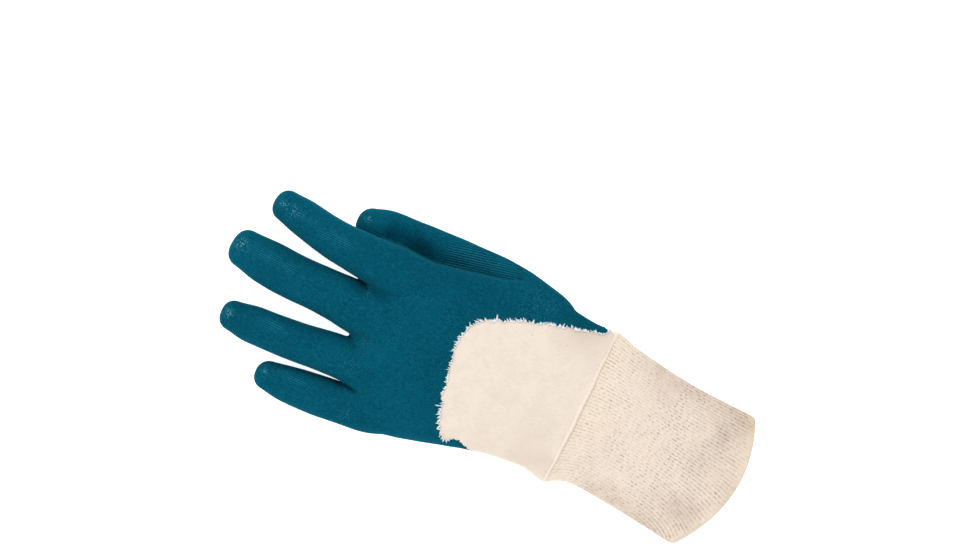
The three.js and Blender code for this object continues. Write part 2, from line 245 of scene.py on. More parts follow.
# Painted shade on the coating along the thumb's side and at the knuckles, and painted light in three
# places.
COAT_PAINTED_SHADE = (
    (48, 19, 28, 0.42), (41, 37, 14, 0.15), (49, 50, 15, 0.25), (49, 73, 12, 0.2), (34.5, 102, 11, 0.5),
    (34, 80, 9, 0.15), (-24, 102, 12, 0.2), (-42, 105, 8, 0.2),
)
COAT_PAINTED_LIGHT = ((-36, 70, 30, 0.5), (-44, 50, 16, 0.2), (5, 145, 14, 0.2))

# Where glints are painted on the coating's grain as highlights: x, y, radius and strength.
PAINTED_GLINTS = (
    (23.2, 170.5, 2.0, 0.9), (21.9, 164.4, 2.6, 0.9), (-3.3, 180.0, 3.2, 1.0), (-35.1, 170.5, 2.4, 0.9),
    (-52.6, 142.8, 1.6, 1.0), (34.7, 131.0, 1.8, 0.9), (3.4, 115, 1.7, 0.45), (35, 38, 8, 0.2),
    (-19.5, 105, 3.5, 0.15), (-31.6, 107.9, 4, 0.2), (-53, 99.4, 3, 0.3),
)
# Painted glints: how strongly highlights are painted all over the palm side, and everywhere else
PALM_PAINTED_GLINTS = 0.4  # how much it glints all over the palm side
BACK_PAINTED_GLINTS = 0.11  # and everywhere else
# Where the jersey's wales show through on the fingers, raised and lightened with painted highlights: x, y,
# half length and half width.
STREAKS = (
    (-2.7, 160.8, 13, 2.4), (19.6, 141, 10, 2.4), (22.0, 157.8, 6, 1.6), (-49.4, 130, 9, 1.6),
    (-31, 148, 8, 2.0), (30, 8, 5, 3),
)
STREAK_PITCH = 1.05  # how far apart they are
# Where they show on the thumb's back: their middle, direction in degrees, extent and pitch.
THUMB_WALES = {"x": 39.6, "y": 71.5, "angle": -76, "long": 19.5, "wide": 6.8, "pitch": 1.13}

# Tones that go with the colours that a user may change
SHEEN_TINT = (0.15, 0.75, 0.9, 1)
# The whitest tone of the painted glints
WHITE_PAINTED_GLINT = (0.12, 0.37, 0.46)
GOLDEN_THREAD = (0.52, 0.33, 0.10)
# The tone by which the knit's painted shade is multiplied
PAINTED_SHADE_TINT = (0.50, 0.43, 0.41)
BRIGHT_FIBRES = (0.84, 0.89, 0.90)
# How many courses the small gaps between the ribs, and the rows of them, are apart
GAP_PITCH = 3.1
ROW_PITCH = 8.5

# The camera looks straight down. Its frame is 978 by 550 pixels.
CAMERA = {"x": 36.35, "y": 67.3, "height": 1510, "lens": 115.2, "turn": -63.5}
# The table and the two lamps, in metres
TABLE_HALF = 2.5
LAMP_SIZE = 0.9
LAMPS = {"key": (-0.9, 0.35, 1.3), "second": (0.9, 0.4, 1.3)}


# Sizes and colours that a user may change


class GLOVE_PG_coating(bpy.types.PropertyGroup):
    """The nitrile coating's sizes and colours"""

    wall: FloatProperty(
        name="Wall", description="Thickness of coating and lining together",
        default=1.45 * MM, unit="LENGTH",
    )
    voxel: FloatProperty(
        name="Fineness", description="Size of the hand's faces", default=0.5 * MM, unit="LENGTH"
    )
    dark: FloatVectorProperty(
        name="Dark", description="The coating's darker tone", subtype="COLOR",
        default=(0.0009, 0.058, 0.095),
    )
    light: FloatVectorProperty(
        name="Light", description="The coating's lighter tone", subtype="COLOR",
        default=(0.0015, 0.083, 0.132),
    )
    # The painted highlight tone, for the grain's glints and for the wales' ridges and lines
    painted_glint: FloatVectorProperty(
        name="Glint", description="The tone of the grain's glints", subtype="COLOR",
        default=(0.025, 0.25, 0.34),
    )
    # Painted shade: the tone of the valleys between the wales and of the coating's darker patches
    deep: FloatVectorProperty(
        name="Deep", description="The tone between raised wales", subtype="COLOR",
        default=(0.0, 0.018, 0.032),
    )
    grain: FloatProperty(
        name="Grain", description="Height of the pebbled grain", default=0.16 * MM, unit="LENGTH"
    )


class GLOVE_PG_jersey(bpy.types.PropertyGroup):
    """The bare jersey's sizes and colours"""

    wall: FloatProperty(
        name="Wall", description="Thickness of the jersey", default=1.1 * MM, unit="LENGTH"
    )
    step: FloatProperty(
        name="Step", description="How far the jersey lies below the coating",
        default=0.35 * MM, unit="LENGTH",
    )
    light: FloatVectorProperty(
        name="Light", description="The jersey's lighter tone", default=(0.79, 0.694, 0.601), subtype="COLOR"
    )
    dark: FloatVectorProperty(
        name="Dark", description="The jersey's darker tone", default=(0.73, 0.63, 0.53), subtype="COLOR"
    )
    torn: FloatVectorProperty(
        name="Torn", description="The torn fibres' tone", default=(0.80, 0.80, 0.77), subtype="COLOR"
    )
    tufts: IntProperty(
        name="Tufts", description="Tufts along the coating's edge", default=560, min=0
    )


class GLOVE_PG_knit(bpy.types.PropertyGroup):
    """The knit wrist's sizes and colours"""

    ribs: IntProperty(name="Ribs", description="Rib wales around the wrist", default=96, min=24)
    rib_depth: FloatProperty(
        name="Rib depth", description="Depth between two ribs", default=0.3 * MM, unit="LENGTH"
    )
    courses: IntProperty(
        name="Courses", description="Rows of stitches from seam to fold", default=78, min=20
    )
    light: FloatVectorProperty(
        name="Light", description="The knit's lighter tone", default=(0.84, 0.75, 0.65), subtype="COLOR"
    )
    dark: FloatVectorProperty(
        name="Dark", description="The tone between the ribs", default=(0.38, 0.265, 0.175), subtype="COLOR"
    )


class GLOVE_PG_stage(bpy.types.PropertyGroup):
    """The table's colour and the strength of the light"""

    floor: FloatVectorProperty(
        name="Floor", description="The table's colour", default=(0.92, 0.92, 0.92), subtype="COLOR"
    )
    glow: FloatProperty(
        name="Glow", description="How much the table itself gives light", default=0.85, min=0
    )
    key: FloatProperty(
        name="Key light", description="Strength of the soft light on the little finger's side",
        default=9.0, unit="POWER",
    )
    second: FloatProperty(
        name="Second light", description="Strength of the soft light on the thumb's side",
        default=8.2, unit="POWER",
    )
    fill: FloatProperty(
        name="Fill", description="Strength of the even light all around", default=0.70, min=0
    )


# Sections and lofts


def through(table, at):
    """The table's columns at each place, on a smooth curve through its rows."""
    keys = table[:, 0]
    at = np.clip(np.asarray(at, float), keys[0], keys[-1])
    i = np.clip(np.searchsorted(keys, at, side="right") - 1, 0, len(keys) - 2)
    before, a, b, after = (table[np.clip(i + k, 0, len(keys) - 1)] for k in (-1, 0, 1, 2))
    span = (b[..., :1] - a[..., :1])
    t = (at[..., None] - a[..., :1]) / span
    slope_a = (b - before) / (b[..., :1] - before[..., :1]) * span
    slope_b = (after - a) / (after[..., :1] - a[..., :1]) * span
    return (
        (2 * t**3 - 3 * t**2 + 1) * a
        + (t**3 - 2 * t**2 + t) * slope_a
        + (3 * t**2 - 2 * t**3) * b
        + (t**3 - t**2) * slope_b
    )


def squared(value, squareness):
    """A circle's cosine or sine, drawn out towards a square."""
    return np.sign(value) * np.abs(value) ** (2 / squareness)


def section(centre, across, wide, thick, squareness, sides):
    """Rounded oblong rings about their centres."""
    up = np.array([0.0, 0.0, 1.0]) - across * across[:, 2:]
    up /= np.linalg.norm(up, axis=1)[:, None]
    angle = 2 * np.pi * np.arange(sides + 1) / sides
    return (
        centre[:, None]
        + across[:, None] * (wide[:, None] / 2 * squared(np.cos(angle), squareness))[..., None]
        + up[:, None] * (thick[:, None] / 2 * squared(np.sin(angle), squareness))[..., None]
    )


def rounded_end(count, squareness):
    """How far ahead and how large the rings of a rounded end are, as shares."""
    ahead = np.sin(np.arange(1, count + 1) / count * np.pi / 2)
    return ahead, np.maximum(1 - ahead**squareness, 0) ** (1 / squareness)


def hand_rings():
    """The hand's body from a closed start inside the wrist to its rounded distal end."""
    start, end, steps = HAND[0, 0], HAND[-1, 0], HAND_LOFT["steps"]
    ahead, size = rounded_end(HAND_LOFT["end"], HAND_ROUNDNESS)
    y = np.concatenate([[start], np.linspace(start, end, steps), end + HAND_END * ahead])
    share = np.concatenate([[0], np.ones(steps), size])
    _, left, right, low, high, thick = through(HAND, y).T
    across = np.stack([right - left, np.zeros_like(y), high - low], 1)
    across /= np.linalg.norm(across, axis=1)[:, None]
    centre = np.stack([(left + right) / 2, y, (low + high) / 2], 1)
    wide = (right - left) * share
    return section(centre, across, wide, thick * share, HAND_SQUARENESS, HAND_LOFT["sides"])


def digit_rings(name):
    """One thumb or finger from a closed start inside the hand to its tip."""
    table, squareness = DIGITS[name], DIGIT_SQUARENESS[name]
    start, end = table[0, 0], table[-1, 0]
    ahead, size = rounded_end(DIGIT_LOFT["end"], squareness)
    steps = int((end - start) / DIGIT_LOFT["step"])
    y = np.concatenate([[start], np.linspace(start, end, steps), np.full(len(ahead), end)])
    ahead = np.concatenate([np.zeros(steps + 1), TIPS[name] * ahead])
    share = np.concatenate([[0], np.ones(steps), size])
    here, back, on = (through(table, np.clip(y + k, start, end)) for k in (0, -0.5, 0.5))
    way = np.stack([on[:, 1] - back[:, 1], on[:, 0] - back[:, 0], np.zeros_like(y)], 1)
    way /= np.linalg.norm(way, axis=1)[:, None]
    dip = (on[:, 2] - back[:, 2]) / np.maximum(on[:, 0] - back[:, 0], 0.5)
    centre = np.stack([here[:, 1], y, here[:, 2] + dip * ahead], 1) + way * ahead[:, None]
    across = np.stack([way[:, 1], -way[:, 0], np.zeros_like(y)], 1)
    return section(centre, across, here[:, 3] * share, here[:, 4] * share, squareness, DIGIT_LOFT["sides"])


def roll(mesh, rings):
    """Rolls a grid up through the rings. The first and last point of a ring fall together."""
    along, around = len(rings) - 1, len(rings[0]) - 1
    made = bmesh.ops.create_grid(
        mesh, x_segments=around, y_segments=along, size=1, calc_uvs=bool(mesh.loops.layers.uv)
    )
    for vert in made["verts"]:
        i = round((vert.co.x + 1) / 2 * around)
        j = round((vert.co.y + 1) / 2 * along)
        vert.co = rings[j][i]


def weld(mesh):
    """Joins the points that fall together."""
    bmesh.ops.remove_doubles(mesh, verts=mesh.verts, dist=1e-4)


def placed(name, data):
    """A new object in the scene."""
    thing = bpy.data.objects.new(name, data)
    bpy.context.scene.collection.objects.link(thing)
    return thing


def new_piece(name, mesh, materials, node):
    """A finished piece that replaces a CAD node, or stands on it where node is None."""
    piece = placed(name, mesh)
    for material in materials:
        mesh.materials.append(material)
    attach(piece, "root")
    if node:
        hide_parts(node)
    return piece


def as_mesh(mesh, name):
    """A mesh from a bmesh, which is freed."""
    data = bpy.data.meshes.new(name)
    mesh.to_mesh(data)
    mesh.free()
    return data


def finished_mesh(mesh, name):
    """A smooth mesh in metres in the part's frame, from a bmesh in the tables' millimetres."""
    mesh.transform(Matrix.Translation(Vector(ORIGIN)) @ Matrix.Scale(MM, 4))
    data = as_mesh(mesh, name)
    data.shade_smooth()
    return data


def tube_mesh(rings, name, uv_name, uv):
    """A finished tube through the rings, whose UV map is worked out from shares around and along."""
    mesh = bmesh.new()
    own_map = mesh.loops.layers.uv.new(uv_name)
    roll(mesh, rings)
    for face in mesh.faces:
        for loop in face.loops:
            loop[own_map].uv = uv(*loop[own_map].uv)
    weld(mesh)
    bmesh.ops.recalc_face_normals(mesh, faces=mesh.faces)
    return finished_mesh(mesh, name)


def evaluated(mesh, settings):
    """What modifiers make of a mesh, each given as its kind and its settings."""
    holder = placed("holder", mesh)
    for kind, values in settings:
        modifier = holder.modifiers.new(kind, kind)
        for key, value in values.items():
            setattr(modifier, key, value)
    graph = bpy.context.evaluated_depsgraph_get()
    made = bpy.data.meshes.new_from_object(holder.evaluated_get(graph))
    bpy.data.objects.remove(holder)
    return made


# The hand's surface and the coating's edge on it


def eased(share):
    """A share between 0 and 1 that starts and ends gently."""
    return share * share * (3 - 2 * share)


def run_along(points):
    """The length of a line up to each of its points."""
    return np.concatenate([[0], np.cumsum(np.hypot(*np.diff(points, axis=0).T))])


def wobble(place, length, seed):
    """A smooth random line between -1 and 1 whose waves have about the given length."""
    knots = np.random.default_rng(seed).uniform(-1, 1, 1024)
    at = (np.asarray(place) / length) % 1023
    i = np.floor(at).astype(int)
    t = eased(at - i)
    return knots[i] * (1 - t) + knots[i + 1] * t


def torn(place):
    """How far the coating's edge is torn back at a place along it."""
    return sum(depth * wobble(place, length, k) for k, (depth, length) in enumerate(TEARS))


def smooth_line(points, step):
    """A dense smooth line through the points."""
    length = run_along(points)
    table = np.column_stack([length, points])
    return through(table, np.linspace(0, length[-1], int(length[-1] / step)))[:, 1:]


@lru_cache(maxsize=None)
def edge_line(side):
    """The coating's edge as a dense line, with a straight run out past both ends."""
    line = smooth_line({"back": BACK_EDGE, "palm": PALM_EDGE}[side], 1.2)
    return np.vstack([(90, line[0, 1]), line, (-90, line[-1, 1])])


def beside(line, points):
    """Each point's distance from the line, positive towards the fingertips, and its place along."""
    starts, ways = line[:-1], np.diff(line, axis=0)
    lengths = np.hypot(*ways.T)
    nearest = np.full(len(points), np.inf)
    distance, place = np.zeros(len(points)), np.zeros(len(points))
    for start, way, length, run in zip(starts, ways, lengths, run_along(line)):
        gap = points - start
        t = np.clip(gap @ way / length**2, 0, 1)
        gap = gap - t[:, None] * way
        far = np.hypot(*gap.T)
        closer = far < nearest
        nearest[closer] = far[closer]
        side = way[1] * gap[:, 0] - way[0] * gap[:, 1]
        distance[closer] = (np.sign(side) * far)[closer]
        place[closer] = (run + t * length)[closer]
    return distance, place


def from_edge(points):
    """How far each point of the surface is on the coated side of the torn edge, in millimetres."""
    back, back_place = beside(edge_line("back"), points[:, :2])
    palm, palm_place = beside(edge_line("palm"), points[:, :2])
    share = eased(np.clip((points[:, 2] - SIDE_HEIGHT) / (2 * SIDE_BLEND) + 0.5, 0, 1))
    place = np.where(share > 0.5, back_place, palm_place + PALM_TEARS)
    return palm + (back - palm) * share - torn(place)


def ways_along(points, x, y, angle):
    """How far points are from (x, y) along a direction and across it."""
    turn = math.radians(angle)
    gap = points[:, :2] - (x, y)
    return gap @ (math.cos(turn), math.sin(turn)), gap @ (-math.sin(turn), math.cos(turn))


def crease_line(crease):
    """A crease as a dense line."""
    return smooth_line(np.array(crease["points"], float), 2)


def moved(points, normals):
    """How far each point moves for the lie of the soft wall: dents, waves, creases and pinches."""
    # Only the back is dented and creased, and the waves fade at the seam and near the table
    facing = np.clip(normals[:, 2] * 1.6, 0, 1)
    depth = np.zeros(len(points))
    for x, y, angle, long, wide, deep in DENTS:
        along, across = ways_along(points, x, y, angle)
        depth += deep * np.exp(-((along / long) ** 2) - (across / wide) ** 2)
    waves = np.zeros(len(points))
    for height, length in SOFTNESS:
        waves += [height * noise.noise(Vector(p) / length + Vector((7, 3, 1))) for p in points]
    free = np.clip((points[:, 1] - 4) / 20, 0, 1) * np.clip(points[:, 2] / 6, 0, 1)
    move = (waves * free - depth * facing)[:, None] * normals
    for crease in CREASES:
        line = crease_line(crease)
        distance, place = beside(line, points[:, :2])
        ends = np.clip(np.minimum(place, np.hypot(*np.diff(line, axis=0).T).sum() - place) / 5, 0, 1)
        width = np.where(distance > 0, crease["beyond"], crease["before"])
        move[:, 2] -= crease["deep"] * np.exp(-((distance / width) ** 2)) * eased(ends) * facing
    for fork, out in PINCHES:
        distance, place = beside(np.array([fork, out]), points[:, :2])
        share = 1 - place / math.dist(fork, out)
        way = (out[1] - fork[1], fork[0] - out[0])
        pull = share * distance * np.exp(-((distance / PINCH_WIDTH) ** 2)) / math.dist(fork, out)
        move[:, :2] -= pull[:, None] * way
    return move


def middles_of(mesh):
    """The faces' middles."""
    return np.array([face.calc_center_median() for face in mesh.faces])


def refine(mesh, near, cuts):
    """Divides the marked faces' edges."""
    mesh.faces.ensure_lookup_table()
    edges = {edge for i in np.flatnonzero(near) for edge in mesh.faces[i].edges}
    bmesh.ops.subdivide_edges(mesh, edges=list(edges), cuts=cuts, use_grid_fill=True)


@lru_cache(maxsize=None)
def hand_form(voxel):
    """The hand's whole outer surface as a mesh in millimetres, finely divided at the edge."""
    mesh = bmesh.new()
    for rings in [hand_rings(), *map(digit_rings, DIGITS)]:
        roll(mesh, rings)
    weld(mesh)
    bmesh.ops.recalc_face_normals(mesh, faces=mesh.faces)
    joined = evaluated(as_mesh(mesh, "closed_tubes"), [
        ("REMESH", {"mode": "VOXEL", "voxel_size": voxel / MM}),
        ("SMOOTH", {"factor": 0.5, "iterations": 12}),
        ("DECIMATE", {"ratio": 0.15}),
        ("SMOOTH", {"factor": 0.5, "iterations": 2}),
    ])
    mesh = bmesh.new()
    mesh.from_mesh(joined)
    middles = middles_of(mesh)
    near = np.zeros(len(middles), bool)
    for crease in CREASES:
        near |= np.abs(beside(crease_line(crease), middles[:, :2])[0]) < CREASE_BAND
    refine(mesh, near & np.array([face.normal.z > 0.1 for face in mesh.faces]), 2)
    mesh.normal_update()
    points = np.array([vert.co for vert in mesh.verts])
    points += moved(points, np.array([vert.normal for vert in mesh.verts]))
    points[:, 2] = np.maximum(points[:, 2], 0)
    for vert, point in zip(mesh.verts, points):
        vert.co = point
    bmesh.ops.bisect_plane(
        mesh,
        geom=[*mesh.verts, *mesh.edges, *mesh.faces],
        plane_co=(0, COATING_START, 0),
        plane_no=(0, -1, 0),
        clear_outer=True,
    )
    refine(mesh, np.abs(from_edge(middles_of(mesh))) < EDGE_BAND, 3)
    return as_mesh(mesh, "hand_form")


def hand_part(voxel, keep):
    """The faces of the hand's surface for which keep, given their distance from the edge, holds."""
    mesh = bmesh.new()
    mesh.from_mesh(hand_form(voxel))
    drop = [face for face, stays in zip(mesh.faces, keep(from_edge(middles_of(mesh)))) if not stays]
    bmesh.ops.delete(mesh, geom=drop, context="FACES")
    rim = [vert for vert in mesh.verts if vert.is_boundary and vert.co.y > COATING_START + 1]
    bmesh.ops.smooth_vert(mesh, verts=rim, factor=0.5, use_axis_x=True, use_axis_y=True, use_axis_z=True)
    return mesh


def wall(piece, thickness, **settings):
    """Gives a surface its wall, inwards."""
    solidify = piece.modifiers.new("wall", "SOLIDIFY")
    solidify.thickness = thickness
    solidify.offset = -1
    for key, value in settings.items():
        setattr(solidify, key, value)


def set_attribute(mesh, name, values):
    """Keeps a value for each point on the mesh, for its material."""
    attribute = mesh.attributes.new(name, "FLOAT", "POINT")
    attribute.data.foreach_set("value", np.asarray(values, np.float32))


def places_of(mesh):
    """A finished mesh's points in the tables' millimetres."""
    points = np.empty(len(mesh.vertices) * 3)
    mesh.vertices.foreach_get("co", points)
    return (points.reshape(-1, 3) - ORIGIN) / MM


# Materials


class Finish:
    """A material with short calls for its nodes."""

    def __init__(self, name, roughness, specular, sheen=0.0, sheen_roughness=0.5):
        self.material = bpy.data.materials.new(name)
        self.material.use_nodes = True
        self.tree = self.material.node_tree
        self.surface = self.tree.nodes["Principled BSDF"]
        self.surface.inputs["Roughness"].default_value = roughness
        self.surface.inputs["Specular IOR Level"].default_value = specular
        self.surface.inputs["Sheen Weight"].default_value = sheen
        self.surface.inputs["Sheen Roughness"].default_value = sheen_roughness
        self.place = self.tree.nodes.new("ShaderNodeTexCoord").outputs["Object"]

    def put(self, socket, value):
        """Links a node's output to the socket, or sets its value."""
        if isinstance(value, bpy.types.NodeSocket):
            self.tree.links.new(value, socket)
        else:
            socket.default_value = value

    def node(self, kind, inputs, **settings):
        """A new node with its settings made and its inputs put in."""
        node = self.tree.nodes.new(kind)
        for key, value in settings.items():
            setattr(node, key, value)
        for key, value in inputs.items():
            self.put(node.inputs[key], value)
        return node

    def finished(self, colour, height=None, depth=0.0):
        """The material, with its colour and with the relief that the height gives."""
        self.put(self.surface.inputs["Base Color"], colour)
        if height is not None:
            bump = self.node("ShaderNodeBump", {"Height": height, "Distance": depth, "Strength": 1.0})
            self.put(self.surface.inputs["Normal"], bump.outputs["Normal"])
        return self.material

    def math(self, operation, *values):
        return self.node("ShaderNodeMath", dict(enumerate(values)), operation=operation).outputs[0]

    def times(self, first, *others):
        for other in others:
            first = self.math("MULTIPLY", first, other)
        return first

    def minus(self, value, taken):
        return self.math("SUBTRACT", value, taken)

    def sum(self, start, *shares):
        """The start and a share of each value, given as pairs of value and share."""
        for value, share in shares:
            start = self.math("MULTIPLY_ADD", value, share, start)
        return start

    def ramp(self, value, low, high, start=0.0, end=1.0):
        """Start at low, end at high, and smooth between them."""
        inputs = {"Value": value, "From Min": low, "From Max": high, "To Min": start, "To Max": end}
        return self.node("ShaderNodeMapRange", inputs, interpolation_type="SMOOTHSTEP").outputs["Result"]

    def wave(self, value, pitch):
        """A wave between 0 and 1 for each pitch of the value."""
        turned = self.times(value, 2 * math.pi / pitch)
        return self.math("MULTIPLY_ADD", self.math("SINE", turned), 0.5, 0.5)

    def noise(self, scale, detail, roughness, along=None):
        """Noise at a scale for each metre, and at only a share of it along the hand where one is given."""
        vector = self.place
        if along:
            scales = {"Vector": vector, "Scale": (1, along, 1)}
            vector = self.node("ShaderNodeMapping", scales).outputs["Vector"]
        inputs = {"Vector": vector, "Scale": scale, "Detail": detail, "Roughness": roughness}
        return self.node("ShaderNodeTexNoise", inputs).outputs["Fac"]

    def chance(self, kind, inputs):
        """A random share for each whole number, or for each pair of them."""
        return self.node("ShaderNodeTexWhiteNoise", inputs, noise_dimensions=kind).outputs["Value"]

    def specks(self, scale, large, small):
        """Round specks, each of its own strength."""
        node = self.node("ShaderNodeTexVoronoi", {"Vector": self.place, "Scale": scale})
        strength = self.node("ShaderNodeSeparateColor", {"Color": node.outputs["Color"]}).outputs["Red"]
        strength = self.ramp(strength, 0.25, 0.9, 0.2, 1.7)
        return self.times(self.ramp(node.outputs["Distance"], large, small), strength)

    def attribute(self, name):
        """A value kept on the mesh."""
        return self.node("ShaderNodeAttribute", {}, attribute_name=name).outputs["Fac"]

    def parts(self, vector):
        """A vector's X, Y and Z."""
        return self.node("ShaderNodeSeparateXYZ", {"Vector": vector}).outputs

    def uv(self, name):
        """The parts of a UV map."""
        return self.parts(self.node("ShaderNodeUVMap", {}, uv_map=name).outputs["UV"])

    def blend(self, share, first, second, kind="MIX"):
        """The first colour with a share of the second."""
        node = self.node("ShaderNodeMix", {0: share}, data_type="RGBA", blend_type=kind)
        for socket, colour in ((node.inputs[6], first), (node.inputs[7], second)):
            self.put(socket, colour if isinstance(colour, bpy.types.NodeSocket) else (*colour, 1))
        return node.outputs[2]

    def shade(self, places):
        """How much the places are darkened by painted shade or lightened by painted light, each given as x,
        y, radius and strength.
        """
        total = 0.0
        for x, y, radius, strength in places:
            gap = {0: self.place, 1: (ORIGIN[0] + x * MM, ORIGIN[1] + y * MM, SHADE_HEIGHT * MM)}
            far = self.node("ShaderNodeVectorMath", gap, operation="DISTANCE").outputs["Value"]
            total = self.math("ADD", self.ramp(far, 0.0, radius * MM, strength, 0.0), total)
        return total


def tinted(colour, red, green, blue):
    """A colour whose channels are each scaled."""
    return [min(1.0, share * channel) for share, channel in zip((red, green, blue), colour)]


def nitrile(coating):
    """Matte dipped nitrile with a pebbled grain, painted glints on it, wales showing through, and painted
    shade and light.
    """
    finish = Finish("nitrile_coating", 0.6, 0.0, 0.14, 0.4)
    finish.surface.inputs["Sheen Tint"].default_value = SHEEN_TINT
    pebbles = finish.noise(1500, 2, 0.6)
    streaks = finish.noise(1500, 2, 0.6, along=0.3)
    mottle = finish.noise(430, 3, 0.6)
    broad = finish.noise(38, 2, 0.5)
    patches = finish.ramp(finish.noise(95, 2, 0.5), 0.42, 0.62, 0.9, 2.3)
    tone = finish.sum(finish.times(broad, 0.8), (mottle, 0.6), (finish.minus(streaks, 0.5), patches))
    # Painted light: lighter patches on the coating
    tone = finish.math("ADD", finish.ramp(tone, 0.36, 1.06), finish.shade(COAT_PAINTED_LIGHT))
    colour = finish.blend(tone, coating.dark, coating.light)
    # Painted shade: patches on the coating darkened towards the deep tone
    colour = finish.blend(finish.shade(COAT_PAINTED_SHADE), colour, coating.deep)

    # Wales across the thumb's back: raised in the relief, with painted shade in the valleys and painted
    # highlights on each ridge
    turn = math.radians(THUMB_WALES["angle"])
    aim = {0: finish.place, 1: (-math.sin(turn), math.cos(turn), 0)}
    across = finish.node("ShaderNodeVectorMath", aim, operation="DOT_PRODUCT").outputs["Value"]
    wales = finish.wave(finish.sum(across, (mottle, 0.6 * MM)), THUMB_WALES["pitch"] * MM)
    shown = finish.times(finish.attribute("thumb_wales"), finish.ramp(mottle, 0.3, 0.6, 0.55, 1.0))
    valleys = finish.times(finish.ramp(wales, 0.35, 0.9), shown)
    ridge_highlights = finish.times(finish.ramp(wales, 0.35, 0.0), shown)
    colour = finish.blend(finish.times(valleys, 0.75), colour, coating.deep)
    colour = finish.blend(finish.times(ridge_highlights, 0.55), colour, coating.painted_glint)

    # Single wales along the fingers, raised in the relief and lightened with painted highlights
    x = finish.parts(finish.place)["X"]
    threads = finish.wave(finish.sum(x, (broad, 0.8 * MM)), STREAK_PITCH * MM)
    threads = finish.times(finish.ramp(threads, 0.7, 1.0), finish.attribute("streaks"))
    threads = finish.times(threads, finish.ramp(mottle, 0.38, 0.52, 0.4, 1.0))
    colour = finish.blend(finish.times(threads, 0.55), colour, coating.painted_glint)

    # Painted glints, whitest where they are strongest
    glints = finish.attribute("glints")
    painted_spark = finish.blend(glints, coating.painted_glint, WHITE_PAINTED_GLINT)
    colour = finish.blend(finish.times(finish.specks(1650, 0.52, 0.2), glints), colour, painted_spark)

    height = finish.minus(finish.sum(pebbles, (mottle, 0.5)), finish.times(valleys, 1.8))
    height = finish.sum(height, (threads, 0.5))
    return finish.finished(colour, height, coating.grain)


def jersey_cloth(jersey, name="cotton_jersey"):
    """Brushed off-white jersey: fine wales, soft mottling and a few dark flecks."""
    finish = Finish(name, 0.95, 0.1, 0.15, 0.6)
    fibres = finish.noise(1100, 3, 0.65, along=0.35)
    mottle = finish.noise(140, 3, 0.55)
    broad = finish.noise(30, 2, 0.5)
    x = finish.parts(finish.place)["X"]
    wales = finish.wave(finish.sum(x, (mottle, 1.2 * MM)), 1.1 * MM)
    tone = finish.sum(finish.times(broad, 0.4), (mottle, 0.7), (fibres, 0.9))
    tone = finish.sum(finish.ramp(tone, 0.70, 1.2), (wales, 0.04))
    colour = finish.blend(tone, jersey.dark, jersey.light)
    # Painted shade: patches darkened where the jersey folds and turns down
    colour = finish.blend(finish.shade(JERSEY_PAINTED_SHADE), colour, tinted(jersey.dark, 0.8, 0.76, 0.72))
    flecks = finish.ramp(finish.noise(700, 0, 0.5), 0.86, 0.9)
    colour = finish.blend(flecks, colour, tinted(jersey.dark, 0.6, 0.6, 0.6))
    return finish.finished(colour, finish.sum(fibres, (wales, 0.08)), 0.12 * MM)


def seam_cloth(jersey):
    """The rolled jersey edge with its overlock thread."""
    finish = Finish("seam_thread", 0.9, 0.2, 0.1)
    thread = finish.wave(finish.uv("thread")["X"], 1.0)
    fibres = finish.noise(1400, 3, 0.6)
    tone = finish.sum(0.3, (fibres, 0.5), (thread, 0.15))
    colour = finish.blend(tone, jersey.dark, tinted(jersey.light, 1.07, 1.07, 1.07))
    return finish.finished(colour, fibres, 0.12 * MM)


